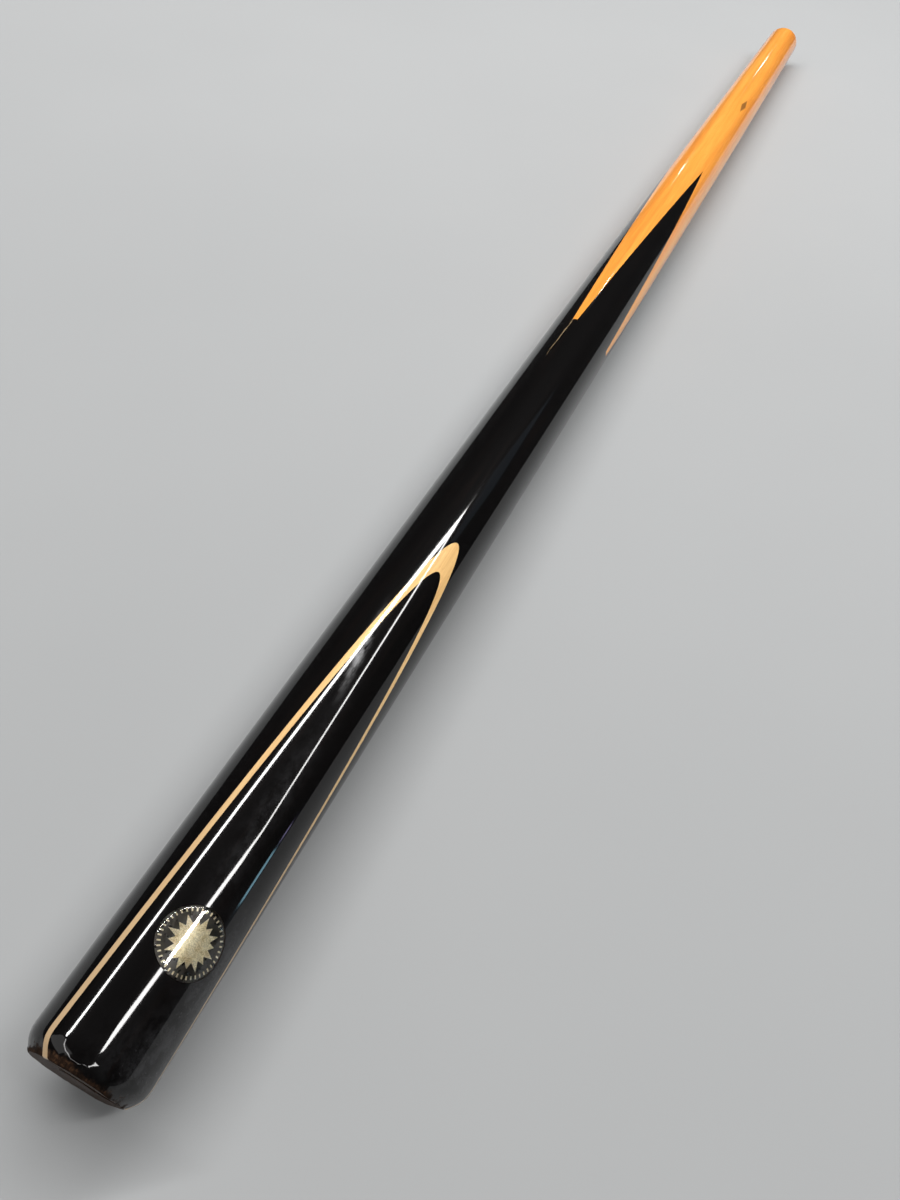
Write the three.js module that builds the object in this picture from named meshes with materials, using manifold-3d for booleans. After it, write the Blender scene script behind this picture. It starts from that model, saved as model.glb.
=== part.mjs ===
// The butt section of a two-piece cue, lying on a table with its butt end towards -Y and its joint
// end towards +Y. Millimetres, +Z up, origin at the middle of the footprint on the table.
//
// It is a full splice: an ebony butt block with four prongs interlocks with the four fins of a maple
// forearm. A front splice of pale veneer and ebony is let into one side of the butt and carries a
// round badge. A steel rod and a plug sit in the butt end, and a brass socket in the joint end takes
// the screw of the other half.
//
// Each piece is made in the cue's own frame, with the axis on Y from the butt face at y = 0, and
// angles round the axis counted from +Z towards +X.

import * as THREE from "three";
import { mergeVertices } from "three/addons/utils/BufferGeometryUtils.js";
import Module from "manifold-3d";

// Outline of the turned wood
const LENGTH = 724; // 28.5 in, half of a 57 in cue
const BUTT_RADIUS = 15;
const JOINT_RADIUS = 10;
const SWELL = 0.9; // how far the outline stands out of a straight taper, at mid length
const CHAMFER = { length: 3.4, depth: 2.2 }; // round the butt face, along the cue and towards the axis
const STATIONS = [CHAMFER.length, 60, 120, 180, 240, 400, 480, 560, 640, LENGTH];
const REST_STATIONS = [240, 400]; // the stretch of the outline that the cue lies on
const SIDES = 32; // one flat of the outline lies on the table

// Splice of butt block and forearm
const FRONT_TURN = THREE.MathUtils.degToRad(33.6); // how far the front splice is rolled off the top
const FIN_TURN = FRONT_TURN - Math.PI / 4; // the fins stand between the prongs
const FIN_END = 311.5; // where the maple fins end in the ebony
const FIN_END_HALF_WIDTH = 1;
const PRONG_TIP = 480; // where the ebony prongs run out

// Front splice: the two glued planes by their height above the axis at the butt face, their rise
// per mm of length, and their turn. The veneer is a little thinner on one side than on the other.
const VENEER_PLANE = { height: 6.15, rise: 0.0471, turn: FRONT_TURN + THREE.MathUtils.degToRad(0.3) };
const PANEL_PLANE = { height: 7.4, rise: 0.0438, turn: FRONT_TURN + THREE.MathUtils.degToRad(0.9) };
const FRONT_SPLICE_END = 190; // both planes have left the outline before this

// Badge, let into the front splice and bent to the outline
const BADGE_RADIUS = 8.25;
const BADGE_CENTRE = 33.3;
const BADGE_PLATE = { top: -0.55, bottom: -0.95 }; // offsets from the outline
const BADGE_LENS = { top: 0.1, bottom: -0.25 };
const BADGE_RECESS = -1.25;

// Joint end: a brass socket glued into a blind hole
const SOCKET_RADIUS = 6.5;
const SOCKET_LENGTH = 40;
const SOCKET_BORE_RADIUS = 4;
const PILOT_RADIUS = 5.25;
const PILOT_DEPTH = 4;
const SOCKET_SETBACK = 0.2; // below the joint face, so that the wood closes the joint
const SOCKET_HOLE_DEPTH = 46;
const GLUE_GROOVES = [10, 18, 26, 34]; // distances below the joint face
const GLUE_GROOVE = { depth: 0.5, width: 1.5 };

// Butt end: a weight rod in a blind hole, closed by a plug
const WEIGHT_RADIUS = 4.75; // 3/8 in rod
const WEIGHT_LENGTH = 76;
const WEIGHT_CHAMFER = 0.6;
const PLUG_LENGTH = 18;
const PLUG_SETBACK = 0.2;

// Filler in the saw kerf that runs on from one fin end
const KERF_START = 282.5;
const KERF_TURN = FIN_TURN - THREE.MathUtils.degToRad(4);
const KERF_HALF_WIDTH = 0.25;
const KERF_DEPTH = 1.2;

const GAP = 0.3; // glue gap between two pieces
const HALF_GAP = GAP / 2;
const BEYOND = 5; // how far a cutter stands out of what it cuts
const REACH = BUTT_RADIUS + BEYOND; // half the size of a cutter that crosses the whole cue

const wasm = await Module();
wasm.setup();

// ---- Solids from three.js geometry, and back -------------------------------------------------

function solidOf(geometry) {
  const bare = new THREE.BufferGeometry();
  bare.setAttribute("position", geometry.getAttribute("position"));
  bare.setIndex(geometry.getIndex());
  const merged = mergeVertices(bare, 1e-4);
  const corners = [];
  const index = merged.getIndex().array;
  for (let i = 0; i < index.length; i += 3) {
    const [a, b, c] = index.subarray(i, i + 3);
    if (a !== b && b !== c && c !== a) corners.push(a, b, c);
  }
  return new wasm.Manifold(
    new wasm.Mesh({
      numProp: 3,
      vertProperties: new Float32Array(merged.getAttribute("position").array),
      triVerts: new Uint32Array(corners),
    }),
  );
}

function geometryOf(solid) {
  const mesh = solid.getMesh();
  const geometry = new THREE.BufferGeometry();
  geometry.setAttribute("position", new THREE.BufferAttribute(mesh.vertProperties, 3));
  geometry.setIndex(new THREE.BufferAttribute(mesh.triVerts, 1));
  const faceted = geometry.toNonIndexed();
  faceted.computeVertexNormals();
  return faceted;
}

// A solid turned about the axis from [radius, y] pairs, listed from the butt towards the joint and
// back. Its flats lie at the given radii.
function turned(profile, sides = SIDES) {
  const toCorner = 1 / Math.cos(Math.PI / sides);
  const points = profile.map(([radius, y]) => new THREE.Vector2(radius * toCorner, y));
  return solidOf(new THREE.LatheGeometry(points, sides, Math.PI / sides, 2 * Math.PI));
}

// A straight bar across the cue whose section is drawn in (x, y), or in (z, y) when onSide is true.
function bar(corners, onSide = false, halfDepth = REACH) {
  const shape = new THREE.Shape(corners.map(([u, v]) => new THREE.Vector2(u, v)));
  const geometry = new THREE.ExtrudeGeometry(shape, { depth: 2 * halfDepth, bevelEnabled: false });
  geometry.translate(0, 0, -halfDepth);
  if (onSide) geometry.rotateY(-Math.PI / 2);
  return geometry;
}

// ---- The outline ---------------------------------------------------------------------------

function radiusAt(y) {
  const along = y / LENGTH;
  const taper = BUTT_RADIUS + (JOINT_RADIUS - BUTT_RADIUS) * along;
  return taper + 4 * SWELL * along * (1 - along);
}

// The turned outline from y = from to y = to, moved out by offset. The butt chamfer is kept where
// the stretch starts at the butt face.
function outline(from, to, offset = 0) {
  const stations = STATIONS.filter((y) => y > from && y < to);
  const side = [...stations, to].map((y) => [outlineRadius(y) + offset, y]);
  const start = from === 0 ? outlineRadius(CHAMFER.length) - CHAMFER.depth : outlineRadius(from);
  return turned([[0, from], [start + offset, from], ...side, [0, to]]);
}

// The radius on the straight stretch between two stations
function outlineRadius(y) {
  const next = Math.max(1, STATIONS.findIndex((station) => station >= y));
  const [low, high] = [STATIONS[next - 1], STATIONS[next]];
  return THREE.MathUtils.mapLinear(y, low, high, radiusAt(low), radiusAt(high));
}

// ---- Cutters -------------------------------------------------------------------------------

// The two crossed wedges that part the forearm's fins from the prongs, grown by the given amount.
function crossedWedges(growth) {
  const slope = (Math.SQRT1_2 * radiusAt(PRONG_TIP) - FIN_END_HALF_WIDTH) / (PRONG_TIP - FIN_END);
  const low = FIN_END - growth;
  const high = LENGTH + BEYOND;
  const halfWidth = (y) => FIN_END_HALF_WIDTH + growth + slope * (y - FIN_END);
  const corners = [
    [-halfWidth(low), low],
    [halfWidth(low), low],
    [halfWidth(high), high],
    [-halfWidth(high), high],
  ];
  const halfReach = halfWidth(high) + BEYOND;
  const [first, second] = [FIN_TURN, FIN_TURN + Math.PI / 2].map((turn) =>
    solidOf(bar(corners, false, halfReach).rotateY(turn)),
  );
  return first.add(second);
}

// What lies above one slanted plane of the front splice, from a gap above it.
function abovePlane({ height, rise, turn }, gap) {
  const bottom = (y) => height + rise * y + gap;
  const top = REACH + BEYOND;
  const [near, far] = [-BEYOND, FRONT_SPLICE_END];
  const corners = [
    [bottom(near), near],
    [top, near],
    [top, far],
    [bottom(far), far],
  ];
  return solidOf(bar(corners, true).rotateY(turn));
}

// A round disc let into the front splice, between two offsets from the outline.
function badgeDisc(radius, { top, bottom }) {
  const sides = 48;
  const disc = new THREE.CylinderGeometry(radius, radius, REACH, sides);
  disc.rotateX(Math.PI / 2);
  disc.translate(0, BADGE_CENTRE, REACH / 2 + BEYOND);
  const [near, far] = [CHAMFER.length + 1, 2 * BADGE_CENTRE];
  const shell = outline(near, far, top).subtract(outline(near - 1, far + 1, bottom));
  return shell.intersect(solidOf(disc.rotateY(FRONT_TURN)));
}

// A strip let into the surface at the kerf, with its sides moved out by growth.
function kerfStrip(growth) {
  const half = KERF_HALF_WIDTH + growth;
  const [low, high] = [KERF_START - growth, FIN_END - HALF_GAP + growth];
  const corners = [
    [-half, low],
    [half, low],
    [half, high],
    [-half, high],
  ];
  const strip = bar(corners, false, REACH / 2).translate(0, 0, REACH / 2 + BEYOND);
  const [near, far] = [KERF_START - BEYOND, FIN_END + BEYOND];
  const core = outline(near - 1, far + 1, -KERF_DEPTH - growth);
  const shell = outline(near, far).subtract(core);
  return shell.intersect(solidOf(strip.rotateY(KERF_TURN)));
}

// ---- Pieces --------------------------------------------------------------------------------

function forearm() {
  const wood = outline(FIN_END - BEYOND, LENGTH).intersect(crossedWedges(-HALF_GAP));
  const holeRadius = SOCKET_RADIUS + GAP;
  const hole = turned([
    [0, LENGTH - SOCKET_HOLE_DEPTH],
    [holeRadius, LENGTH - SOCKET_HOLE_DEPTH],
    [holeRadius, LENGTH + BEYOND],
    [0, LENGTH + BEYOND],
  ]);
  return wood.subtract(hole);
}

function buttBlock() {
  const holeRadius = WEIGHT_RADIUS + GAP;
  const holeDepth = PLUG_LENGTH + WEIGHT_LENGTH + 3 * GAP;
  const hole = turned([
    [0, -BEYOND],
    [holeRadius, -BEYOND],
    [holeRadius, holeDepth],
    [0, holeDepth],
  ]);
  return outline(0, PRONG_TIP + BEYOND)
    .subtract(crossedWedges(HALF_GAP))
    .subtract(abovePlane(VENEER_PLANE, -HALF_GAP))
    .subtract(kerfStrip(GAP))
    .subtract(hole);
}

function frontSpliceVeneer() {
  return outline(0, FRONT_SPLICE_END)
    .intersect(abovePlane(VENEER_PLANE, HALF_GAP))
    .subtract(abovePlane(PANEL_PLANE, -HALF_GAP));
}

function frontSplicePanel() {
  const recess = badgeDisc(BADGE_RADIUS + GAP, { top: 1, bottom: BADGE_RECESS });
  return outline(0, FRONT_SPLICE_END)
    .intersect(abovePlane(PANEL_PLANE, HALF_GAP))
    .subtract(recess);
}

function jointSocket() {
  const face = LENGTH - SOCKET_SETBACK;
  const inner = face - SOCKET_LENGTH;
  const grooveFloor = SOCKET_RADIUS - GLUE_GROOVE.depth;
  const grooves = [...GLUE_GROOVES].reverse().flatMap((below) => {
    const [low, high] = [face - below - GLUE_GROOVE.width / 2, face - below + GLUE_GROOVE.width / 2];
    return [
      [SOCKET_RADIUS, low],
      [grooveFloor, low],
      [grooveFloor, high],
      [SOCKET_RADIUS, high],
    ];
  });
  return turned([
    [SOCKET_BORE_RADIUS, inner],
    [SOCKET_RADIUS, inner],
    ...grooves,
    [SOCKET_RADIUS, face],
    [PILOT_RADIUS, face],
    [PILOT_RADIUS, face - PILOT_DEPTH],
    [SOCKET_BORE_RADIUS, face - PILOT_DEPTH],
    [SOCKET_BORE_RADIUS, inner],
  ]);
}

function weightRod() {
  const near = PLUG_LENGTH + GAP;
  const far = near + WEIGHT_LENGTH;
  const endRadius = WEIGHT_RADIUS - WEIGHT_CHAMFER;
  return turned([
    [0, near],
    [endRadius, near],
    [WEIGHT_RADIUS, near + WEIGHT_CHAMFER],
    [WEIGHT_RADIUS, far - WEIGHT_CHAMFER],
    [endRadius, far],
    [0, far],
  ]);
}

function buttPlug() {
  return turned([
    [0, PLUG_SETBACK],
    [WEIGHT_RADIUS, PLUG_SETBACK],
    [WEIGHT_RADIUS, PLUG_LENGTH],
    [0, PLUG_LENGTH],
  ]);
}

// ---- Assembly ------------------------------------------------------------------------------

const maple = { color: 0xf0a84a, roughness: 0.25, metalness: 0 };
const ebony = { color: 0x0d0b0b, roughness: 0.15, metalness: 0 };
const paleMaple = { color: 0xe8c48a, roughness: 0.25, metalness: 0 };
const rawEbony = { color: 0x2a1d17, roughness: 0.6, metalness: 0 };
const badgeGilt = { color: 0xb99a5c, roughness: 0.3, metalness: 1 };
const clearResin = { color: 0xffffff, roughness: 0.05, metalness: 0, transparent: true, opacity: 0.3 };
const brass = { color: 0xc9a24b, roughness: 0.3, metalness: 1 };
const steel = { color: 0x8a8c90, roughness: 0.4, metalness: 1 };

const pieces = [
  ["forearm", forearm(), maple],
  ["butt_block", buttBlock(), ebony],
  ["front_splice_veneer", frontSpliceVeneer(), paleMaple],
  ["front_splice_panel", frontSplicePanel(), ebony],
  ["badge_plate", badgeDisc(BADGE_RADIUS, BADGE_PLATE), badgeGilt],
  ["badge_lens", badgeDisc(BADGE_RADIUS, BADGE_LENS), clearResin],
  ["joint_socket", jointSocket(), brass],
  ["weight_rod", weightRod(), steel],
  ["butt_plug", buttPlug(), rawEbony],
  ["kerf_filler", kerfStrip(0), paleMaple],
];

const cue = new THREE.Group();
for (const [name, solid, look] of pieces) {
  const mesh = new THREE.Mesh(geometryOf(solid), new THREE.MeshStandardMaterial(look));
  mesh.name = name;
  cue.add(mesh);
}

// Lay the cue down on the flat of its resting stretch, over the middle of its footprint.
const [restLow, restHigh] = REST_STATIONS;
cue.rotation.x = Math.atan((radiusAt(restHigh) - radiusAt(restLow)) / (restHigh - restLow));
const lying = new THREE.Box3().setFromObject(cue, true);
const middle = lying.getCenter(new THREE.Vector3());
cue.position.set(-middle.x, -middle.y, -lying.min.z);

const part = new THREE.Group();
part.add(cue);

export default part;
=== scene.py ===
"""The looks of a cue butt that lies on a plain pale floor.

The turned wood is one smooth outline, cut into the same pieces as the CAD part and by the same
planes. Each piece takes its surface normals from the uncut outline, so the lacquer reflects across
the glued joints without a break.

Shapes are made in millimetres in the cue's own frame: the butt face is at y = 0, the axis is on Y,
and angles round the axis are counted from +Z towards +X. TO_ROW takes them to the row frame.
"""

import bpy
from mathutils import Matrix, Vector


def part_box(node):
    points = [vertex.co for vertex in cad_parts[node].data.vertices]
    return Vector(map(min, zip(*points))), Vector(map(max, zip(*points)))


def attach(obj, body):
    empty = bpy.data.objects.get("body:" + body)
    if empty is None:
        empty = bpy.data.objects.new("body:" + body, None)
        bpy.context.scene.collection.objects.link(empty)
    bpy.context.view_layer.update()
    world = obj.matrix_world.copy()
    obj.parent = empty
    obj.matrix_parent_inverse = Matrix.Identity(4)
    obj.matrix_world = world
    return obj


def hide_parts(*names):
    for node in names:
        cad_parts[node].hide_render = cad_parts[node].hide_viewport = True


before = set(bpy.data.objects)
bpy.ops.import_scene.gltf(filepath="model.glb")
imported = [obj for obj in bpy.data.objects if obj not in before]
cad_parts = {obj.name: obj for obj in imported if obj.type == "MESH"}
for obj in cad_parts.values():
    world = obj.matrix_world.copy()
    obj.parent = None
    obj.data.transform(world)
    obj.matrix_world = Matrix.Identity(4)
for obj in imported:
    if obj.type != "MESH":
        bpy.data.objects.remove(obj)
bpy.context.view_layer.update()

import math

import bmesh
import bpy
import numpy as np
from mathutils import Matrix, Vector, noise
from mathutils.bvhtree import BVHTree
from mathutils.interpolate import poly_3d_calc

MM = 0.001
BODY = "root"

# ---- The cue's sizes, as in the CAD part ---------------------------------------------------

LENGTH = 724.0
BUTT_RADIUS = 15.0
JOINT_RADIUS = 10.0
SWELL = 0.9
CHAMFER_LENGTH = 3.4
CHAMFER_DEPTH = 2.2
INSET = 0.05  # keeps the round outline inside the CAD part's flats

FRONT_TURN = math.radians(33.6)
FIN_TURN = FRONT_TURN - math.pi / 4
FIN_END = 311.5
FIN_END_HALF_WIDTH = 1.0
PRONG_TIP = 480.0

# Height above the axis at the butt face, rise per mm, and turn
VENEER_PLANE = (6.15, 0.0471, FRONT_TURN + math.radians(0.3))
PANEL_PLANE = (7.4, 0.0438, FRONT_TURN + math.radians(0.9))
FRONT_SPLICE_END = 190.0

BADGE_RADIUS = 8.25
BADGE_CENTRE = 33.3
BADGE_PLATE_TOP = -0.5
BADGE_PLATE_BOTTOM = -0.95

SOCKET_RADIUS = 6.5
SOCKET_LENGTH = 40.0
SOCKET_CREST_RADIUS = 4.0
SOCKET_ROOT_RADIUS = 4.9
SOCKET_PITCH = 1.5
PILOT_RADIUS = 5.25
PILOT_DEPTH = 4.0
SOCKET_SETBACK = 0.2
SOCKET_HOLE_DEPTH = 46.0
GLUE_GROOVES = (10.0, 18.0, 26.0, 34.0)
GLUE_GROOVE_DEPTH = 0.5
GLUE_GROOVE_WIDTH = 1.5

WEIGHT_RADIUS = 4.75
WEIGHT_LENGTH = 76.0
PLUG_LENGTH = 18.0
PLUG_SETBACK = 0.2
GLUE = 0.06  # glue line round a piece in a bore

KERF_START = 282.5
KERF_TURN = FIN_TURN - math.radians(4.0)
KERF_DEPTH = 1.2

SLIVER = 0.002  # points nearer than this are one point
REACH = 20.0  # half the size of a cutter that crosses the cue
BEYOND = 5.0  # how far a cutter stands out of what it cuts


def find_cue():
    """The matrix from the cue's own frame, in mm, to the row frame, read off two turned pieces."""
    plug = sum(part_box("butt_plug"), Vector()) / 2
    socket = sum(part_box("joint_socket"), Vector()) / 2
    along = (socket - plug).normalized()
    butt = plug - along * MM * (PLUG_SETBACK + PLUG_LENGTH) / 2
    side = Vector((1, 0, 0))
    turn = Matrix((side, along, side.cross(along))).transposed().to_4x4()
    return Matrix.Translation(butt) @ turn @ Matrix.Scale(MM, 4)


TO_ROW = find_cue()


# ---- Node materials ------------------------------------------------------------------------


class Nodes:
    """A small helper that adds shader nodes to a material and links them."""

    def __init__(self, name):
        self.material = bpy.data.materials.new(name)
        self.material.use_nodes = True
        self.tree = self.material.node_tree
        self.shader = self.tree.nodes["Principled BSDF"]

    def add(self, kind, values=None, **settings):
        node = self.tree.nodes.new("ShaderNode" + kind)
        for name, value in settings.items():
            setattr(node, name, value)
        for socket, value in (values or {}).items():
            self.put(value, node.inputs[socket])
        return node

    def put(self, value, socket):
        if isinstance(value, bpy.types.NodeSocket):
            self.tree.links.new(value, socket)
        else:
            socket.default_value = value

    def set(self, **values):
        for name, value in values.items():
            self.put(value, self.shader.inputs[name.replace("_", " ")])

    def place(self, scale):
        """Object coordinates in millimetres times scale."""
        where = self.add("TexCoord").outputs["Object"]
        scale = [s / MM for s in scale]
        return self.add("Mapping", {"Vector": where, "Scale": scale}).outputs[0]

    def noise(self, scale, detail=4.0, roughness=0.55, distortion=0.0):
        values = {
            "Vector": self.place(scale),
            "Scale": 1.0,
            "Detail": detail,
            "Roughness": roughness,
            "Distortion": distortion,
        }
        return self.add("TexNoise", values).outputs["Fac"]

    def ramp(self, factor, stops):
        node = self.add("ValToRGB", {"Fac": factor})
        elements = node.color_ramp.elements
        while len(elements) < len(stops):
            elements.new(0.5)
        for element, (place, colour) in zip(elements, stops):
            element.position = place
            element.color = (*colour, 1.0)
        return node.outputs["Color"]

    def fade(self, value, low, high, to_low=0.0, to_high=1.0):
        values = {
            "Value": value,
            "From Min": low,
            "From Max": high,
            "To Min": to_low,
            "To Max": to_high,
        }
        return self.add("MapRange", values, interpolation_type="SMOOTHSTEP").outputs["Result"]

    def maths(self, operation, *values):
        node = self.add("Math", operation=operation)
        for socket, value in zip(node.inputs, values):
            self.put(value, socket)
        return node.outputs[0]

    def mix(self, factor, one, other):
        node = self.add("Mix", data_type="RGBA")
        colours = [s for s in node.inputs if s.type == "RGBA"]
        self.put(factor, node.inputs[0])
        for value, socket in zip((one, other), colours):
            self.put(value if isinstance(value, bpy.types.NodeSocket) else (*value, 1.0), socket)
        return [s for s in node.outputs if s.type == "RGBA"][0]

    def attribute(self, name):
        return self.add("Attribute", attribute_name=name).outputs["Fac"]

    def bump(self, height, distance):
        values = {"Height": height, "Distance": distance * MM, "Strength": 1.0}
        return self.add("Bump", values).outputs["Normal"]


# ---- The turned outline --------------------------------------------------------------------

SIDES = 192
RING_STEP = 5.0
SKIN, FACE, GLUED = 0, 1, 2  # material index of turned surface, end face and cut surface


def radius_at(y):
    along = y / LENGTH
    return BUTT_RADIUS + (JOINT_RADIUS - BUTT_RADIUS) * along + 4 * SWELL * along * (1 - along) - INSET


def rounded(corner, before, after, radius, steps):
    """Points of an arc of the given radius that rounds the corner of a profile."""
    corner, before, after = (np.array(p, float) for p in (corner, before, after))
    back = (before - corner) / np.linalg.norm(before - corner)
    on = (after - corner) / np.linalg.norm(after - corner)
    half = math.acos(float(back @ on)) / 2
    bisector = (back + on) / np.linalg.norm(back + on)
    centre = corner + bisector * radius / math.sin(half)
    first = corner + back * radius / math.tan(half) - centre
    last = corner + on * radius / math.tan(half) - centre
    total = math.pi - 2 * half
    arc = []
    for step in range(steps + 1):
        share = step / steps
        arc.append(
            centre
            + (first * math.sin((1 - share) * total) + last * math.sin(share * total)) / math.sin(total)
        )
    return [tuple(point) for point in arc]


def outline_profile():
    """(radius, y) from the rim of the butt face to the rim of the joint face."""
    face_rim = (radius_at(CHAMFER_LENGTH) - CHAMFER_DEPTH, INSET)
    shoulder = (radius_at(CHAMFER_LENGTH), CHAMFER_LENGTH)
    first_ring = (radius_at(3 * CHAMFER_LENGTH), 3 * CHAMFER_LENGTH)
    joint_rim = (radius_at(LENGTH), LENGTH - INSET)
    last_ring = (radius_at(LENGTH - 2), LENGTH - 2)
    points = rounded(face_rim, (0.0, INSET), shoulder, 0.8, 5)
    points += rounded(shoulder, face_rim, first_ring, 6.0, 10)
    ring_count = round((LENGTH - 2 * RING_STEP) / RING_STEP)
    for ring in range(1, ring_count + 1):
        y = CHAMFER_LENGTH + 0.6 * RING_STEP + (ring - 1) * RING_STEP
        if y < LENGTH - 3:
            points.append((radius_at(y), y))
    points.append(last_ring)
    points += rounded(joint_rim, last_ring, (0.0, LENGTH - INSET), 0.3, 4)
    return points


def bump_at(value, centre, width):
    return math.exp(-(((value - centre) / width) ** 2))


def worn(angle, y, radius):
    """How far handling has worn the rim of the butt down, in mm."""
    rim = max(0.0, 1 - y / 6)
    lumps = noise.noise(Vector((math.sin(angle), math.cos(angle), 0.06 * y)) * 2.6)
    chips = noise.noise(Vector((radius * math.sin(angle), radius * math.cos(angle), y)) * 0.42)
    knocked = 0.75 * bump_at(math.degrees(angle) % 360, 118, 32)
    return rim * (0.16 + 0.16 * lumps + 0.3 * max(0.0, chips - 0.12) + knocked)


def outline_grid():
    """Points of the outline as an array of rings, and the smooth normal at each."""
    profile = np.array(outline_profile())
    angles = np.arange(SIDES) * 2 * math.pi / SIDES
    grid = np.zeros((len(profile), SIDES, 3))
    slope = np.gradient(profile, axis=0)
    for ring, (radius, y) in enumerate(profile):
        inward = np.array((-slope[ring][1], slope[ring][0])) / np.linalg.norm(slope[ring])
        for side, angle in enumerate(angles):
            depth = worn(angle, y, radius) if y < 6 else 0.0
            at_radius, at_y = radius + inward[0] * depth, y + inward[1] * depth
            grid[ring, side] = (at_radius * math.sin(angle), at_y, at_radius * math.cos(angle))
    round_it = np.roll(grid, -1, 1) - np.roll(grid, 1, 1)
    along_it = np.gradient(grid, axis=0)
    normals = np.cross(along_it, round_it)
    normals /= np.linalg.norm(normals, axis=2)[..., None]
    radial = grid * (1, 0, 1)
    if np.einsum("ijk,ijk->ij", normals, radial).mean() < 0:
        normals = -normals
    return grid, normals


GRID, GRID_NORMALS = outline_grid()


def angles_of(sides):
    return [2 * math.pi * side / sides for side in range(sides)]


def grid_faces(rings, sides):
    """The faces between the rings of points, each ring closed on itself."""
    return [
        (
            ring * sides + side,
            ring * sides + (side + 1) % sides,
            (ring + 1) * sides + (side + 1) % sides,
            (ring + 1) * sides + side,
        )
        for ring in range(rings - 1)
        for side in range(sides)
    ]


def new_object(name, vertices, faces, indices=None):
    mesh = bpy.data.meshes.new(name)
    mesh.from_pydata([tuple(v) for v in vertices], [], faces)
    if indices is not None:
        mesh.polygons.foreach_set("material_index", indices)
    mesh.update()
    made = bpy.data.objects.new(name, mesh)
    bpy.context.scene.collection.objects.link(made)
    face_out(made)
    return made


def face_out(thing):
    """Turns every face of a closed mesh outwards."""
    shape = bmesh.new()
    shape.from_mesh(thing.data)
    bmesh.ops.recalc_face_normals(shape, faces=shape.faces)
    shape.to_mesh(thing.data)
    shape.free()


def blank(name):
    """The whole turned outline as one closed solid."""
    rings = len(GRID)
    vertices = GRID.reshape(-1, 3)
    faces = grid_faces(rings, SIDES)
    indices = [SKIN] * len(faces)
    faces.append(tuple(range(SIDES)))
    faces.append(tuple((rings - 1) * SIDES + side for side in range(SIDES)))
    indices += [FACE, FACE]
    return new_object(name, vertices, faces, indices)


def prism(corners, axis, low, high, turn):
    """A bar from low to high along axis 'x' or 'z', with its (other axis, y) section, turned."""
    if axis == "z":
        near = [(u, y, low) for u, y in corners]
        far = [(u, y, high) for u, y in corners]
    else:
        near = [(low, y, u) for u, y in corners]
        far = [(high, y, u) for u, y in corners]
    count = len(corners)
    faces = [tuple(range(count)), tuple(range(2 * count - 1, count - 1, -1))]
    faces += [(i, (i + 1) % count, count + (i + 1) % count, count + i) for i in range(count)]
    made = new_object("cutter", near + far, faces, [GLUED] * len(faces))
    made.data.transform(Matrix.Rotation(turn, 4, "Y"))
    return made


def ring_points(profile, sides):
    """One ring of points for each (radius, y) pair."""
    return [(r * math.sin(a), y, r * math.cos(a)) for r, y in profile for a in angles_of(sides)]


def turned(name, profile, sides):
    """A closed solid turned about the axis from (radius, y) pairs, with a flat face at each end."""
    faces = grid_faces(len(profile), sides)
    kinds = [SKIN] * len(faces) + [FACE, FACE]
    faces.append(tuple(range(sides)))
    faces.append(tuple((len(profile) - 1) * sides + side for side in range(sides)))
    return new_object(name, ring_points(profile, sides), faces, kinds)


def cut(thing, cutter, operation):
    """Joins, cuts or keeps what is common, and removes the cutter."""
    modifier = thing.modifiers.new("cut", "BOOLEAN")
    modifier.operation = operation
    modifier.object = cutter
    modifier.solver = "MANIFOLD"
    modifier.material_mode = "INDEX"
    depsgraph = bpy.context.evaluated_depsgraph_get()
    mesh = bpy.data.meshes.new_from_object(thing.evaluated_get(depsgraph))
    thing.modifiers.clear()
    old = thing.data
    thing.data = mesh
    mesh.name = thing.name
    bpy.data.meshes.remove(old)
    bpy.data.objects.remove(cutter)
    return thing


# ---- Cutters -------------------------------------------------------------------------------


def fin_wedge(turn):
    """The space of two opposite fins of the forearm, out to the joint end."""
    slope = (math.sqrt(0.5) * radius_at(PRONG_TIP) - FIN_END_HALF_WIDTH) / (PRONG_TIP - FIN_END)
    far = LENGTH + BEYOND
    wide = FIN_END_HALF_WIDTH + slope * (far - FIN_END)
    corners = [(-FIN_END_HALF_WIDTH, FIN_END), (FIN_END_HALF_WIDTH, FIN_END), (wide, far), (-wide, far)]
    return prism(corners, "z", -wide - BEYOND, wide + BEYOND, turn)


def above_plane(plane):
    """All that lies outside one slanted plane of the front splice."""
    height, rise, turn = plane
    near, far = -BEYOND, FRONT_SPLICE_END
    top = REACH + BEYOND
    corners = [(height + rise * near, near), (top, near), (top, far), (height + rise * far, far)]
    return prism(corners, "x", -REACH, REACH, turn)


def bore(radius, low, high, sides=96):
    made = turned("cutter", [(radius, low), (radius, high)], sides)
    made.data.polygons.foreach_set("material_index", [GLUED] * len(made.data.polygons))
    return made


def kerf():
    """The wandering saw kerf that runs on from the end of one fin."""
    steps = 24
    left, right = [], []
    for step in range(steps + 1):
        share = step / steps
        y = FIN_END - 0.01 + (KERF_START - FIN_END) * share
        middle = 0.25 * math.sin(5.2 * share + 0.6) - 0.14 + 0.12 * math.sin(13 * share)
        half = 0.2 * (1 - share**3) + 0.02 + 0.05 * math.sin(21 * share + 1) * (1 - share)
        left.append((middle - half, y))
        right.append((middle + half, y))
    low = radius_at(KERF_START) - KERF_DEPTH
    return prism(left + right[::-1], "z", low, REACH, KERF_TURN)


# ---- Finishing a piece ---------------------------------------------------------------------


def skin_tree():
    rings = len(GRID)
    vertices = [Vector(v) for v in GRID.reshape(-1, 3)]
    return BVHTree.FromPolygons(vertices, grid_faces(rings, SIDES)), grid_faces(rings, SIDES)


SKIN_TREE, SKIN_FACES = skin_tree()
FLAT_POINTS = [Vector(v) for v in GRID.reshape(-1, 3)]
FLAT_NORMALS = [Vector(v) for v in GRID_NORMALS.reshape(-1, 3)]


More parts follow.
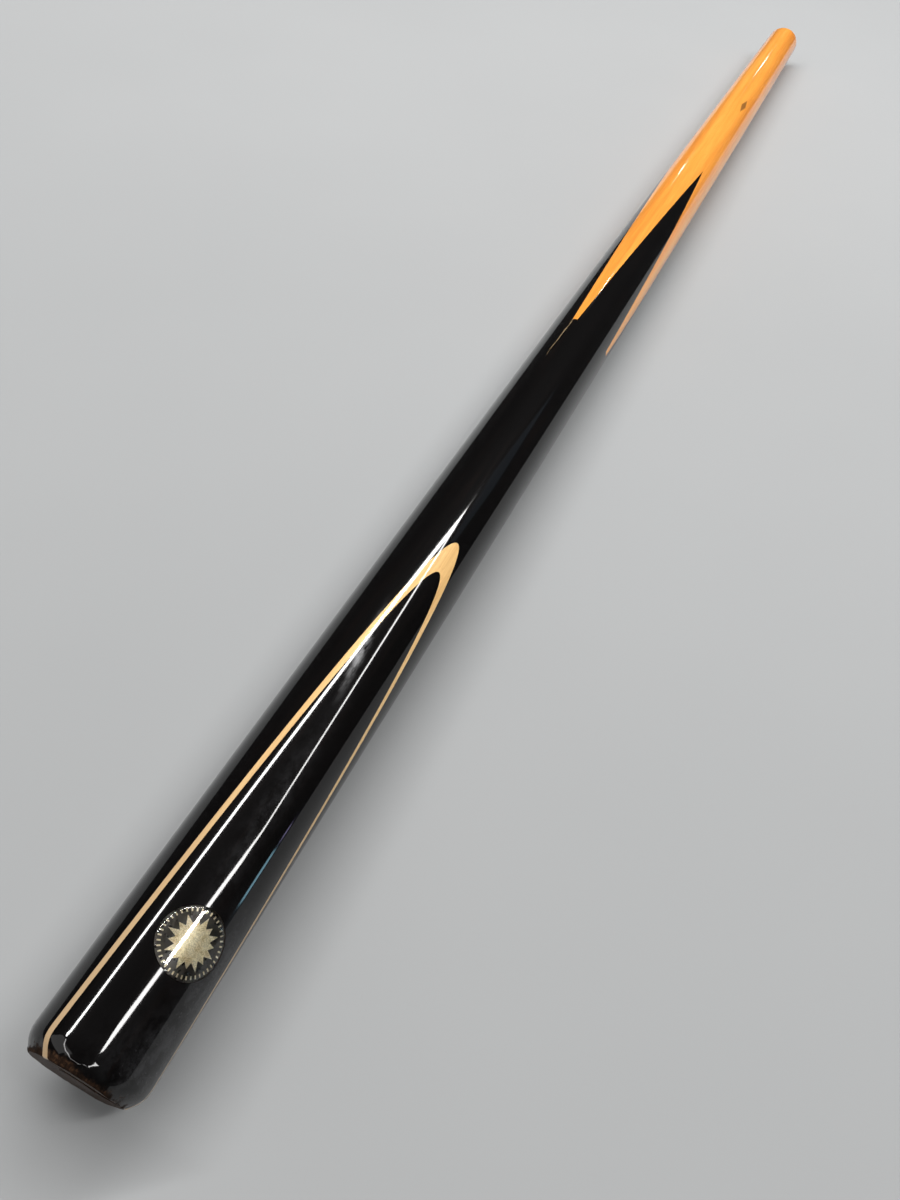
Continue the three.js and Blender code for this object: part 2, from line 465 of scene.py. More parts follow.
def skin_normal(point):
    """The uncut outline's smooth normal at the nearest place."""
    _, _, index, _ = SKIN_TREE.find_nearest(point)
    corners = SKIN_FACES[index]
    weights = poly_3d_calc([FLAT_POINTS[c] for c in corners], point)
    return sum((FLAT_NORMALS[c] * w for c, w in zip(corners, weights)), Vector()).normalized()


def drop_slivers(thing):
    """Joins points that a cut left on top of each other, and drops faces without area."""
    shape = bmesh.new()
    shape.from_mesh(thing.data)
    bmesh.ops.remove_doubles(shape, verts=shape.verts, dist=SLIVER)
    bmesh.ops.dissolve_degenerate(shape, edges=shape.edges, dist=SLIVER)
    shape.to_mesh(thing.data)
    shape.free()


def smooth_skin(thing):
    """Gives the turned faces the outline's normals, and leaves the cut faces flat."""
    drop_slivers(thing)
    mesh = thing.data
    mesh.polygons.foreach_set("use_smooth", [True] * len(mesh.polygons))
    known = {}
    normals = [None] * len(mesh.loops)
    for polygon in mesh.polygons:
        for loop in polygon.loop_indices:
            vertex = mesh.loops[loop].vertex_index
            if polygon.material_index == SKIN:
                if vertex not in known:
                    known[vertex] = skin_normal(mesh.vertices[vertex].co)
                normals[loop] = known[vertex]
            else:
                normals[loop] = polygon.normal.copy()
    mesh.normals_split_custom_set(normals)


def smooth_by_angle(thing, degrees):
    mesh = thing.data
    mesh.polygons.foreach_set("use_smooth", [True] * len(mesh.polygons))
    shape = bmesh.new()
    shape.from_mesh(mesh)
    for edge in shape.edges:
        sharp = len(edge.link_faces) == 2 and edge.calc_face_angle(0.0) > math.radians(degrees)
        edge.smooth = not sharp
    shape.to_mesh(mesh)
    shape.free()


def stained(thing, name, rule):
    """Stores rule(angle, y, radius) at each vertex, for the shader to read."""
    values = []
    for vertex in thing.data.vertices:
        x, y, z = vertex.co
        values.append(float(rule(math.atan2(x, z), y, math.hypot(x, z))))
    attribute = thing.data.attributes.new(name, "FLOAT", "POINT")
    attribute.data.foreach_set("value", values)


def finish_piece(thing, name, materials, slot, *nodes):
    """Names a piece, puts it in the row frame, gives it its materials and hides the CAD parts that it
    stands in for.
    """
    thing.name = name
    thing.data.name = name
    thing.data.transform(TO_ROW)
    kinds = np.zeros(len(thing.data.polygons), np.int32)
    thing.data.polygons.foreach_get("material_index", kinds)
    thing.data.materials.clear()
    for material in materials:
        thing.data.materials.append(material)
    thing.data.polygons.foreach_set("material_index", np.minimum(kinds, len(materials) - 1))
    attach(thing, BODY)
    if nodes:
        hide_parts(*nodes)
    return thing


# ---- Materials -----------------------------------------------------------------------------

DUST = (0.17, 0.17, 0.18)
SMEAR = (0.5, 0.5, 0.51)


def lacquer(nodes, dull):
    """Clear lacquer over the wood: a hard gloss coat with a slight swell, missing where dull is 1."""
    swell = nodes.noise((0.05, 0.012, 0.05), 2.0)
    peel = nodes.noise((0.5, 0.4, 0.5), 2.0)
    height = nodes.maths("MULTIPLY_ADD", peel, 0.06, swell)
    nodes.set(Coat_Weight=nodes.fade(dull, 0.0, 1.0, 1.0, 0.0), Coat_IOR=1.46, Coat_Roughness=0.055)
    nodes.set(Coat_Normal=nodes.bump(height, 0.03))


def dust_on(nodes):
    """Where the dust attribute shows, broken up into clouds and specks."""
    where = nodes.attribute("dust")
    cloud = nodes.noise((0.3, 0.2, 0.3), 5.0, 0.7)
    speck = nodes.noise((1.5, 1.3, 1.5), 3.0)
    veil = nodes.maths("MULTIPLY", where, nodes.fade(cloud, 0.36, 0.68))
    specks = nodes.maths("MULTIPLY", where, nodes.fade(speck, 0.6, 0.72))
    return nodes.maths("MAXIMUM", veil, specks)


def smear_on(nodes):
    """Where a pale wiped smear shows: a soft streak with thin places."""
    blots = nodes.noise((0.5, 0.16, 0.5), 3.0, 0.6)
    return nodes.maths("MULTIPLY", nodes.attribute("smear"), nodes.fade(blots, 0.3, 0.62))


def ebony_material():
    """Near-black wood with faint brown streaks, lacquered, and bare where the rim is worn."""
    nodes = Nodes("ebony_lacquered")
    streak = nodes.noise((0.5, 0.02, 0.5), 6.0, 0.6, 0.4)
    pore = nodes.noise((3.2, 0.16, 3.2), 2.0)
    wood = nodes.ramp(
        streak,
        [
            (0.3, (0.0008, 0.0006, 0.0006)),
            (0.55, (0.0014, 0.001, 0.001)),
            (0.8, (0.0045, 0.0027, 0.0022)),
        ],
    )
    wood = nodes.mix(nodes.fade(pore, 0.62, 0.75, 0.0, 0.5), wood, (0.002, 0.0015, 0.0015))
    dust = dust_on(nodes)
    smear = smear_on(nodes)
    clean = nodes.mix(nodes.maths("MULTIPLY", dust, 0.22), wood, DUST)
    clean = nodes.mix(smear, clean, SMEAR)
    bare_grain = nodes.noise((1.6, 0.35, 1.6), 5.0, 0.7)
    bare = nodes.ramp(
        bare_grain,
        [(0.32, (0.004, 0.003, 0.002)), (0.5, (0.02, 0.011, 0.007)), (0.7, (0.085, 0.045, 0.024))],
    )
    patch = nodes.noise((0.4, 0.4, 0.4), 4.0, 0.65)
    ragged = nodes.maths("MULTIPLY_ADD", patch, 1.1, nodes.attribute("wear"))
    wear = nodes.fade(ragged, 1.1, 1.4)
    nodes.set(Base_Color=nodes.mix(wear, clean, bare))
    nodes.set(Roughness=nodes.fade(wear, 0.0, 1.0, 0.5, 0.65), Specular_IOR_Level=0.025)
    lacquer(nodes, nodes.maths("MAXIMUM", wear, nodes.maths("MULTIPLY", dust, 0.35)))
    return nodes.material


def figured_maple(name, dark, middle, light, speck_strength):
    """Straight-grained maple under lacquer, with soft growth bands and fine flecks."""
    nodes = Nodes(name)
    band = nodes.noise((0.16, 0.0045, 0.16), 3.0, 0.5, 0.3)
    fibre = nodes.noise((2.4, 0.05, 2.4), 5.0, 0.6)
    fleck = nodes.noise((3.0, 0.45, 3.0), 2.0)
    grain = nodes.maths("MULTIPLY_ADD", fibre, 0.35, nodes.maths("MULTIPLY", band, 0.65))
    wood = nodes.ramp(grain, [(0.34, dark), (0.5, middle), (0.66, light)])
    wood = nodes.mix(nodes.fade(fleck, 0.58, 0.7, 0.0, speck_strength), wood, dark)
    return nodes, wood


def maple_material():
    shades = (0.72, 0.24, 0.032), (0.88, 0.34, 0.05), (0.96, 0.43, 0.08)
    nodes, wood = figured_maple("maple_lacquered", *shades, 0.3)
    stamp = nodes.attribute("stamp")
    wood = nodes.mix(nodes.fade(stamp, 0.35, 0.65, 0.0, 0.75), wood, (0.1, 0.04, 0.012))
    nodes.set(Base_Color=wood, Roughness=0.45, Specular_IOR_Level=0.1)
    lacquer(nodes, nodes.attribute("dust"))
    return nodes.material


def veneer_material():
    """Pale maple veneer, greyer towards the butt as a painted glare, with grime where dust lies."""
    shades = (0.72, 0.42, 0.16), (0.9, 0.58, 0.24), (0.97, 0.68, 0.32)
    nodes, wood = figured_maple("veneer_lacquered", *shades, 0.7)
    along = nodes.add("SeparateXYZ", {0: nodes.place((1, 1, 1))}).outputs["Y"]
    # Greyer towards the butt: painted glare, not a change in the wood.
    painted_glare = nodes.fade(along, -LENGTH / 2, -LENGTH / 2 + 140, 0.9, 0.0)
    wood = nodes.mix(painted_glare, wood, (0.46, 0.33, 0.2))
    dust = dust_on(nodes)
    wood = nodes.mix(nodes.maths("MULTIPLY", dust, 0.6), wood, DUST)
    nodes.set(Base_Color=wood, Roughness=0.45, Specular_IOR_Level=0.1)
    lacquer(nodes, nodes.maths("MULTIPLY", dust, 0.35))
    return nodes.material


def filler_material():
    """The dull filler in the saw kerf."""
    nodes = Nodes("kerf_filler")
    blot = nodes.noise((1.2, 0.3, 1.2), 4.0)
    nodes.set(Base_Color=nodes.ramp(blot, [(0.3, (0.05, 0.035, 0.02)), (0.6, (0.34, 0.24, 0.13))]))
    nodes.set(Roughness=0.5, Specular_IOR_Level=0.1)
    lacquer(nodes, nodes.attribute("dust"))
    return nodes.material


PITH = (46.0, 0.0, -31.0)  # the middle of the growth rings, well outside the cue


def end_grain_material(name, dark, middle, light, ring_pitch, roughness):
    """Bare wood sawn across: growth rings, pores and fine saw marks."""
    nodes = Nodes(name)
    where = nodes.place((1, 1, 1))
    from_pith = nodes.add("VectorMath", {0: where, 1: PITH}, operation="SUBTRACT").outputs[0]
    flat = nodes.add("VectorMath", {0: from_pith, 1: (1.0, 0.0, 1.0)}, operation="MULTIPLY").outputs[0]
    wander = nodes.noise((0.12, 0.12, 0.12), 3.0)
    reach = nodes.add("VectorMath", {0: flat}, operation="LENGTH").outputs["Value"]
    wandering = nodes.maths("MULTIPLY_ADD", wander, 3.0, reach)
    ring = nodes.maths("SINE", nodes.maths("MULTIPLY", wandering, ring_pitch))
    pore = nodes.noise((3.4, 3.4, 3.4), 3.0)
    saw = nodes.noise((6.0, 6.0, 0.3), 3.0)
    shade = nodes.maths("MULTIPLY_ADD", ring, 0.07, pore)
    nodes.set(Base_Color=nodes.ramp(shade, [(0.25, dark), (0.5, middle), (0.75, light)]))
    nodes.set(Roughness=nodes.fade(pore, 0.3, 0.7, roughness - 0.08, roughness + 0.08))
    nodes.set(Normal=nodes.bump(nodes.maths("MULTIPLY_ADD", saw, 0.6, pore), 0.05))
    nodes.set(Specular_IOR_Level=0.3)
    return nodes.material


def metal_material(name, colour, tarnish, roughness, lay):
    """Turned metal with fine tool marks round it and a little tarnish."""
    nodes = Nodes(name)
    cloud = nodes.noise((0.3, 0.3, 0.3), 4.0)
    marks = nodes.noise(lay, 3.0)
    nodes.set(Base_Color=nodes.mix(nodes.fade(cloud, 0.42, 0.75), colour, tarnish), Metallic=1.0)
    nodes.set(Roughness=nodes.fade(marks, 0.3, 0.7, roughness - 0.08, roughness + 0.1))
    nodes.set(Normal=nodes.bump(marks, 0.01))
    return nodes.material


def gilt_material():
    """Pale gilt paint: part metal, mostly pigment, with a fine uneven grain."""
    nodes = Nodes("badge_gilt")
    cloud = nodes.noise((0.5, 0.5, 0.5), 4.0)
    grain = nodes.noise((4.0, 4.0, 4.0), 3.0)
    shades = [(0.3, (0.66, 0.53, 0.3)), (0.5, (0.85, 0.76, 0.52)), (0.7, (0.93, 0.87, 0.68))]
    colour = nodes.ramp(cloud, shades)
    nodes.set(Base_Color=colour, Metallic=0.3)
    nodes.set(Roughness=nodes.fade(grain, 0.3, 0.7, 0.2, 0.34), Normal=nodes.bump(grain, 0.01))
    return nodes.material


def enamel_material():
    nodes = Nodes("badge_enamel")
    cloud = nodes.noise((0.8, 0.8, 0.8), 4.0)
    nodes.set(Base_Color=nodes.ramp(cloud, [(0.3, (0.006, 0.005, 0.004)), (0.7, (0.03, 0.022, 0.012))]))
    nodes.set(Roughness=nodes.fade(cloud, 0.3, 0.7, 0.25, 0.4))
    return nodes.material


def resin_material():
    """The clear layer over the badge, with a few fine scuffs."""
    nodes = Nodes("badge_resin")
    scuff = nodes.noise((1.4, 1.4, 1.4), 4.0)
    nodes.set(Base_Color=(1.0, 0.985, 0.95, 1.0), Transmission_Weight=1.0, IOR=1.5)
    nodes.set(Roughness=nodes.fade(scuff, 0.5, 0.8, 0.015, 0.08))
    return nodes.material


EBONY = ebony_material()
MAPLE = maple_material()
VENEER = veneer_material()
FILLER = filler_material()
MAPLE_END = end_grain_material(
    "maple_end_grain", (0.42, 0.24, 0.1), (0.68, 0.46, 0.24), (0.8, 0.6, 0.36), 4.2, 0.6
)
# The veneer's end face at the butt is painted near black: painted shade, where that face lies in
# shadow, not grime on the wood.
SHADED_VENEER_END = end_grain_material(
    "veneer_end_painted_shade", (0.03, 0.02, 0.012), (0.07, 0.045, 0.026), (0.13, 0.085, 0.05), 4.2, 0.7
)
EBONY_END = end_grain_material(
    "ebony_end_grain", (0.01, 0.006, 0.004), (0.035, 0.02, 0.012), (0.09, 0.05, 0.03), 5.0, 0.6
)
BRASS = metal_material("turned_brass", (0.72, 0.5, 0.2), (0.42, 0.25, 0.09), 0.3, (1.0, 7.0, 1.0))
STEEL = metal_material("turned_steel", (0.5, 0.5, 0.51), (0.3, 0.28, 0.26), 0.4, (1.0, 6.0, 1.0))
GILT = gilt_material()
ENAMEL = enamel_material()
RESIN = resin_material()


# ---- What handling has left on the surface -------------------------------------------------


def rim_wear(angle, y, radius):
    """Bare wood round the rim of the butt, most of it on the side towards the light."""
    if y > 7:
        return 0.0
    turn = (math.degrees(angle) + 180) % 360 - 180
    side = 0.55 + 0.45 * bump_at(turn, -15, 75) + 0.2 * bump_at(turn, 178, 60)
    patch = noise.noise(Vector((1.9 * math.sin(angle), 1.9 * math.cos(angle), 0.2 * y)))
    return side * (1.25 - 0.33 * y) + 0.35 * patch


def dustiness(angle, y, radius):
    """A clouded side near the badge and the rim, and a few specks up the panel."""
    turn = math.degrees(angle)
    near_badge = bump_at(turn, 74, 20) * bump_at(y, 26, 22)
    near_rim = 0.6 * bump_at(turn, 80, 45) * bump_at(y, 7, 7)
    specks = 0.35 * bump_at(turn, 24, 12) * bump_at(y, 70, 30)
    return near_badge + near_rim + specks


def smeariness(angle, y, radius):
    """A pale wiped streak that runs slantwise over the panel."""
    streak_turn = math.radians(6 + (131 - y) * 0.5)
    return bump_at(angle, streak_turn, math.radians(3)) * bump_at(y, 122, 9)


STAMP_CENTRE = 576.0
STAMP_TURN = math.radians(28.0)
STAMP_HALF_LENGTH = 9.0
STAMP_HALF_WIDTH = 1.6


def diamond_stamp(angle, y, radius):
    """A plain burned diamond on the maple, well up the forearm."""
    along = abs(y - STAMP_CENTRE) / STAMP_HALF_LENGTH
    across = abs(radius * (angle - STAMP_TURN)) / STAMP_HALF_WIDTH
    return 1.0 - (along + across) * 0.5


# ---- Wooden pieces -------------------------------------------------------------------------


def stain_all(thing):
    stained(thing, "wear", rim_wear)
    stained(thing, "dust", dustiness)
    stained(thing, "smear", smeariness)
    stained(thing, "stamp", diamond_stamp)


def make_forearm():
    fins = cut(fin_wedge(FIN_TURN), fin_wedge(FIN_TURN + math.pi / 2), "UNION")
    wood = cut(blank("forearm_wood"), fins, "INTERSECT")
    hole_low = LENGTH - SOCKET_HOLE_DEPTH
    cut(wood, bore(SOCKET_RADIUS + GLUE, hole_low, LENGTH + BEYOND), "DIFFERENCE")
    smooth_skin(wood)
    stain_all(wood)
    finish_piece(wood, "forearm_wood", [MAPLE, MAPLE_END, MAPLE_END], "maple", "forearm")


def make_butt_block():
    wood = blank("butt_wood")
    cut(wood, fin_wedge(FIN_TURN), "DIFFERENCE")
    cut(wood, fin_wedge(FIN_TURN + math.pi / 2), "DIFFERENCE")
    cut(wood, above_plane(VENEER_PLANE), "DIFFERENCE")
    cut(wood, kerf(), "DIFFERENCE")
    cut(wood, bore(WEIGHT_RADIUS + GLUE, -BEYOND, PLUG_LENGTH + WEIGHT_LENGTH + 1), "DIFFERENCE")
    smooth_skin(wood)
    stain_all(wood)
    finish_piece(wood, "butt_wood", [EBONY, EBONY_END, EBONY_END], "ebony", "butt_block")


def make_veneer():
    wood = cut(blank("veneer_wood"), above_plane(VENEER_PLANE), "INTERSECT")
    cut(wood, above_plane(PANEL_PLANE), "DIFFERENCE")
    smooth_skin(wood)
    stain_all(wood)
    # The veneer's end face takes the near-black end grain, which is painted shade.
    finish_piece(wood, "veneer_wood", [VENEER, SHADED_VENEER_END, MAPLE_END], "veneer", "front_splice_veneer")


def make_panel():
    wood = cut(blank("panel_wood"), above_plane(PANEL_PLANE), "INTERSECT")
    recess = bore(BADGE_RADIUS + GLUE, BADGE_DEEP, REACH, 128)
    recess.data.transform(BADGE_FRAME)
    cut(wood, recess, "DIFFERENCE")
    smooth_skin(wood)
    stain_all(wood)
    finish_piece(wood, "panel_wood", [EBONY, EBONY_END, EBONY_END], "ebony", "front_splice_panel")


def make_kerf_filler():
    wood = cut(blank("kerf_line"), kerf(), "INTERSECT")
    smooth_skin(wood)
    stain_all(wood)
    finish_piece(wood, "kerf_line", [FILLER, FILLER, FILLER], "veneer", "kerf_filler")


# ---- Badge ---------------------------------------------------------------------------------

# The badge's own frame: its centre on the cue's axis, and local +Y out through the badge
BADGE_FRAME = (
    Matrix.Rotation(FRONT_TURN, 4, "Y")
    @ Matrix.Translation((0, BADGE_CENTRE, 0))
    @ Matrix.Rotation(math.pi / 2, 4, "X")
)
BADGE_DEEP = radius_at(BADGE_CENTRE) - 4.2
STAR_RAYS = 16
STAR_RADII = (6.3, 5.5, 4.1)  # long rays, short rays and the valleys between them
TICK_COUNT = 40
TICK_RADII = (6.9, 7.65)
TICK_WIDTH = 0.34


def on_badge(across, along, offset):
    """A point of the cue's frame at the given offset from the outline, over the badge."""
    y = BADGE_CENTRE + along
    radius = radius_at(y) + offset
    out = math.sqrt(radius**2 - across**2)
    return Matrix.Rotation(FRONT_TURN, 4, "Y") @ Vector((across, y, out))


def badge_plaque(name, outline, top, bottom, rings=1):
    """A thin solid over an outline given as (across, along) points round one centre point."""
    count = len(outline)
    middle = np.mean(np.array(outline), axis=0)
    vertices = []
    for offset in (top, bottom):
        for ring in range(1, rings + 1):
            for point in outline:
                across, along = middle + (np.array(point) - middle) * ring / rings
                height = offset(math.hypot(across, along)) if callable(offset) else offset
                vertices.append(on_badge(across, along, height))
        height = offset(math.hypot(*middle)) if callable(offset) else offset
        vertices.append(on_badge(*middle, height))
    layer = rings * count + 1
    faces = []
    for level in (0, 1):
        base = level * layer
        centre = base + layer - 1
        for i in range(count):
            faces.append((centre, base + i, base + (i + 1) % count))
        for ring in range(rings - 1):
            for i in range(count):
                a, b = base + ring * count, base + (ring + 1) * count
                faces.append((a + i, b + i, b + (i + 1) % count, a + (i + 1) % count))
    outer = (rings - 1) * count
    for i in range(count):
        j = (i + 1) % count
        faces.append((outer + i, layer + outer + i, layer + outer + j, outer + j))
    return new_object(name, vertices, faces)


def circle(radius, count):
    return [(radius * math.cos(turn), radius * math.sin(turn)) for turn in angles_of(count)]


def sunburst(points, outer, middle, inner):
    """A star whose rays are long and short by turns."""
    outline = []
    for i in range(2 * points):
        turn = math.pi * i / points
        radius = inner if i % 2 else (outer if i % 4 == 0 else middle)
        outline.append((radius * math.cos(turn), radius * math.sin(turn)))
    return outline


def radial_tick(turn, inner, outer, width):
    """A small bar that points at the centre."""
    out = np.array((math.cos(turn), math.sin(turn)))
    side = np.array((-out[1], out[0])) * width / 2
    near, far = out * inner, out * outer
    return [tuple(p) for p in (near - side, far - side, far + side, near + side)]


def join(name, things):
    shape = bmesh.new()
    for thing in things:
        shape.from_mesh(thing.data)
        bpy.data.objects.remove(thing)
    mesh = bpy.data.meshes.new(name)
    shape.to_mesh(mesh)
    shape.free()
    made = bpy.data.objects.new(name, mesh)
    bpy.context.scene.collection.objects.link(made)
    return made


def make_badge():
    rim = circle(BADGE_RADIUS, 128)
    plate = badge_plaque("badge_enamelled_plate", rim, BADGE_PLATE_TOP, BADGE_PLATE_BOTTOM, 8)
    smooth_by_angle(plate, 40)
    finish_piece(plate, "badge_enamelled_plate", [ENAMEL], "badge", "badge_plate")
    relief = BADGE_PLATE_TOP + 0.09
    foot = BADGE_PLATE_TOP - 0.05
    rays = sunburst(STAR_RAYS, *STAR_RADII)
    star = badge_plaque("star", rays, lambda r: relief + 0.1 * (1 - r / 6), foot, 6)
    ticks = [
        badge_plaque("tick", radial_tick(turn, *TICK_RADII, TICK_WIDTH), relief, foot)
        for turn in angles_of(TICK_COUNT)
    ]
    emblem = join("badge_sunburst", [star, *ticks])
    smooth_by_angle(emblem, 30)
    finish_piece(emblem, "badge_sunburst", [GILT], "badge")

    def dome(r):
        """Nearly flush, with a lip that turns down at the edge."""
        share = r / (BADGE_RADIUS - 0.05)
        return 0.05 - 0.2 * max(0.0, (share - 0.9) / 0.1) ** 2

    rim = circle(BADGE_RADIUS - 0.05, 128)
    lens = badge_plaque("badge_clear", rim, dome, BADGE_PLATE_TOP - 0.03, 40)
    smooth_by_angle(lens, 50)
    finish_piece(lens, "badge_clear", [RESIN], "badge_resin", "badge_lens")


# ---- Turned metal and the plug -------------------------------------------------------------


def make_socket():
    """The brass socket with glue grooves outside and a real helical thread inside."""
    face = LENGTH - SOCKET_SETBACK
    inner = face - SOCKET_LENGTH
    outside = [(SOCKET_RADIUS - 0.3, inner + 0.02), (SOCKET_RADIUS, inner + 0.3)]
    for below in reversed(GLUE_GROOVES):
        low = face - below - GLUE_GROOVE_WIDTH / 2
        high = low + GLUE_GROOVE_WIDTH
        floor = SOCKET_RADIUS - GLUE_GROOVE_DEPTH
        outside += [(SOCKET_RADIUS, low), (floor, low + 0.15)]
        outside += [(floor, high - 0.15), (SOCKET_RADIUS, high)]
    outside += [(SOCKET_RADIUS, face - 0.2), (SOCKET_RADIUS - 0.2, face - 0.02)]
    mouth = [(PILOT_RADIUS + 0.2, face - 0.02), (PILOT_RADIUS, face - 0.22)]
    mouth.append((PILOT_RADIUS, face - PILOT_DEPTH))
    sides, per_turn = 96, 12
    step = SOCKET_PITCH / per_turn
    thread_top = face - PILOT_DEPTH
    count = int((thread_top - inner - 0.3) / step)
    vertices = ring_points(outside + mouth, sides)
    for ring in range(count + 1):
        y = thread_top - ring * step
        for angle in angles_of(sides):
            phase = (y / SOCKET_PITCH - angle / (2 * math.pi)) % 1.0
            rise = min(1.0, max(0.0, (abs(phase - 0.5) * 2 - 0.12) / 0.76))
            fade = min(1.0, ring * step / 1.2)
            radius = SOCKET_ROOT_RADIUS - (SOCKET_ROOT_RADIUS - SOCKET_CREST_RADIUS) * rise * fade
            vertices.append((radius * math.sin(angle), y, radius * math.cos(angle)))
    rings = len(vertices) // sides
    faces = grid_faces(rings, sides)
    start = (rings - 1) * sides
    faces += [(start + i, start + (i + 1) % sides, (i + 1) % sides, i) for i in range(sides)]
    socket = new_object("socket_brass", vertices, faces)
    smooth_by_angle(socket, 28)
    finish_piece(socket, "threaded_socket", [BRASS], "socket_brass", "joint_socket")


def make_plug():
    """The plug, flush in the butt, with its edge eased."""
    profile = [
        (WEIGHT_RADIUS - 0.5, PLUG_SETBACK + 0.02),
        (WEIGHT_RADIUS - 0.15, PLUG_SETBACK + 0.1),
        (WEIGHT_RADIUS - 0.02, PLUG_SETBACK + 0.35),
        (WEIGHT_RADIUS - 0.02, PLUG_LENGTH - 0.3),
        (WEIGHT_RADIUS - 0.3, PLUG_LENGTH),
    ]
    plug = turned("plug_wood", profile, 96)
    smooth_by_angle(plug, 40)
    finish_piece(plug, "plug_wood", [EBONY_END, EBONY_END], "bare_ebony", "butt_plug")


def make_weight():
    profile = [
        (WEIGHT_RADIUS - 0.6, PLUG_LENGTH + 0.3),
        (WEIGHT_RADIUS - 0.05, PLUG_LENGTH + 0.9),
        (WEIGHT_RADIUS - 0.05, PLUG_LENGTH + WEIGHT_LENGTH - 0.3),
        (WEIGHT_RADIUS - 0.6, PLUG_LENGTH + WEIGHT_LENGTH + 0.25),
    ]
    rod = turned("weight_bar", profile, 64)
    smooth_by_angle(rod, 30)
    finish_piece(rod, "weight_bar", [STEEL, STEEL], "weight_steel", "weight_rod")


make_forearm()
make_butt_block()
make_veneer()
make_panel()
make_kerf_filler()
make_badge()
make_socket()
make_plug()
make_weight()


# ---- Floor, lights and camera --------------------------------------------------------------


FLOOR_RADIUS = 2.0
BACKDROP_RADIUS = 9.0


def make_floor():
    nodes = Nodes("floor_grey")
    tone = nodes.noise((0.004, 0.004, 0.004), 3.0)
    nodes.set(Base_Color=nodes.ramp(tone, [(0.3, (0.358, 0.366, 0.371)), (0.7, (0.372, 0.38, 0.385))]))
    nodes.set(Roughness=0.95, Specular_IOR_Level=0.1)
    bpy.ops.mesh.primitive_circle_add(vertices=96, radius=FLOOR_RADIUS, fill_type="NGON")
    floor = bpy.context.object
    floor.name = "floor"
    floor.data.materials.append(nodes.material)


def make_backdrop():
    """A pale dome round the floor that only the camera sees, so it lights and mirrors nothing."""
    nodes = Nodes("backdrop_grey")
    tone = nodes.noise((0.002, 0.002, 0.002), 3.0)
    colour = nodes.ramp(tone, [(0.3, (0.43, 0.437, 0.442)), (0.7, (0.445, 0.452, 0.457))])
    nodes.set(Base_Color=(0.0, 0.0, 0.0, 1.0), Specular_IOR_Level=0.0, Emission_Color=colour)
    nodes.set(Emission_Strength=1.0)
    bpy.ops.mesh.primitive_uv_sphere_add(segments=64, ring_count=32, radius=BACKDROP_RADIUS)
    dome = bpy.context.object
    dome.name = "backdrop"
    dome.data.materials.append(nodes.material)
    for kind in ("diffuse", "glossy", "transmission", "volume_scatter", "shadow"):
        setattr(dome, "visible_" + kind, False)


CEILING = 1.2  # height of the lamps above the floor
STRIP_WIDTH = 0.085
NARROW_WIDTH = 0.06
NEUTRAL = (1.0, 1.0, 1.0)
WHITE = (1.0, 0.99, 0.98)
BLUISH = (0.6, 0.78, 1.0)
TEAL = (0.42, 0.8, 1.0)
VIOLET = (0.62, 0.55, 1.0)


def rectangle_lamp(name, place, turn, size, radiance, colour):
    """A rectangular lamp, in metres, that the camera doesn't see itself."""
    data = bpy.data.lights.new(name, "AREA")
    data.shape = "RECTANGLE"
    data.size, data.size_y = size
    data.energy = radiance * math.pi * size[0] * size[1]
    data.color = colour
    lamp = bpy.data.objects.new(name, data)
    bpy.context.scene.collection.objects.link(lamp)
    lamp.location = place
    lamp.rotation_euler = turn
    lamp.visible_camera = False


def area_light(name, place, toward, size, radiance, colour):
    """A lamp turned towards a point. size is its width and height, seen upright."""
    look = Vector(toward) - Vector(place)
    turn = look.to_track_quat("-Z", "Y").to_euler()
    rectangle_lamp(name, place, turn, size, radiance, colour)


def strip_light(name, start, end, width, radiance, colour=WHITE):
    """A long lamp that hangs level under the ceiling and shines down."""
    start, end = Vector((*start, CEILING)), Vector((*end, CEILING))
    turn = (0, 0, math.atan2(end.y - start.y, end.x - start.x))
    rectangle_lamp(name, (start + end) / 2, turn, ((end - start).length, width), radiance, colour)


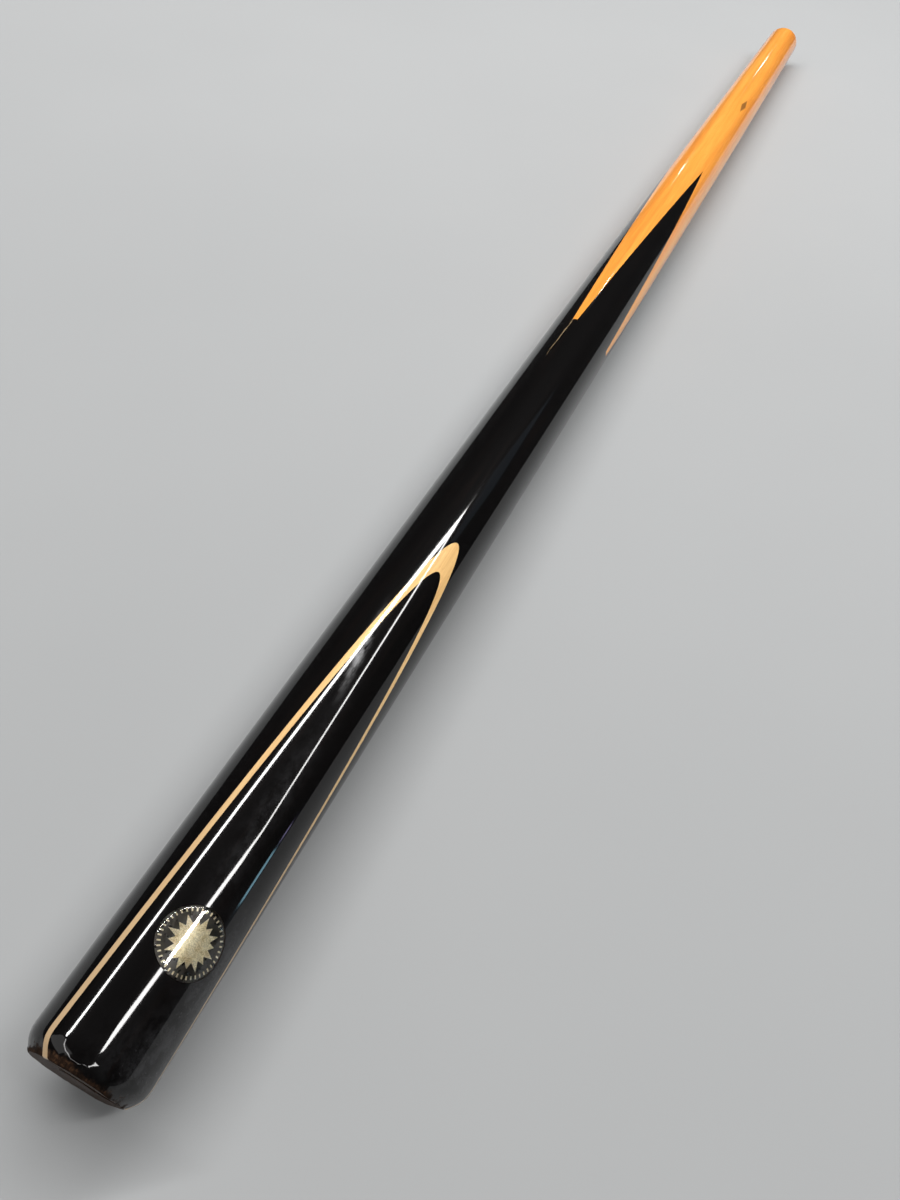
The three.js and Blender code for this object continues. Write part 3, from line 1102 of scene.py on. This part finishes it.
def make_lights():
    """Lamp strips overhead that the lacquer mirrors, spot lamps, a low screen and a soft key."""
    strip_light("strip_left", (0.46, 0.97), (-1.1, -0.3), STRIP_WIDTH, 46)
    strip_light("strip_right", (0.47, 0.94), (1.12, 0.25), STRIP_WIDTH, 28)
    strip_light("strip_near", (1.1, 0.25), (0.48, -0.23), 0.1, 30)
    strip_light("strip_far", (0.72, 1.05), (1.24, 1.82), 0.45, 0.18, BLUISH)
    strip_light("behind_left", (-1.02, -0.5), (-0.62, -2.0), NARROW_WIDTH, 12)
    strip_light("behind_middle", (-0.6, -2.1), (0.2, -2.4), NARROW_WIDTH, 12)
    strip_light("behind_right", (0.35, -2.1), (0.65, -0.85), NARROW_WIDTH, 20)
    for spot in ((-0.53, 2.11), (-1.21, 3.89), (-0.26, 4.1)):
        area_light("far_lamp", (*spot, CEILING), (0, 0.1, 0), (0.045, 0.045), 40, NEUTRAL)
    glint = (0, -0.31, 0.03)
    area_light("screen", (1.52, 0.16, 0.095), glint, (0.11, 0.11), 7, TEAL)
    area_light("screen_edge", (1.52, 0.26, 0.095), glint, (0.035, 0.06), 5, VIOLET)
    area_light("soft_key", (-1.5, -1.3, 1.3), (0, 0, 0), (1.8, 1.2), 0.8, WHITE)


def make_world():
    world = bpy.data.worlds.new("dim_room")
    world.use_nodes = True
    background = world.node_tree.nodes["Background"]
    background.inputs["Color"].default_value = (0.95, 0.97, 1.0, 1.0)
    background.inputs["Strength"].default_value = 0.03
    bpy.context.scene.world = world


CAMERA_PLACE = (0.07169, -0.37533, 0.24277)
CAMERA_TURN = (38.739, -5.59, 25.476)
CAMERA_LENS = 27.6


def make_camera():
    data = bpy.data.cameras.new("camera")
    data.lens = CAMERA_LENS
    data.sensor_width = 36.0
    data.clip_start = 0.01
    camera = bpy.data.objects.new("camera", data)
    bpy.context.scene.collection.objects.link(camera)
    camera.location = CAMERA_PLACE
    camera.rotation_euler = [math.radians(turn) for turn in CAMERA_TURN]
    bpy.context.scene.camera = camera


make_floor()
make_backdrop()
make_lights()
make_world()
make_camera()
bpy.context.scene.view_settings.view_transform = "Standard"
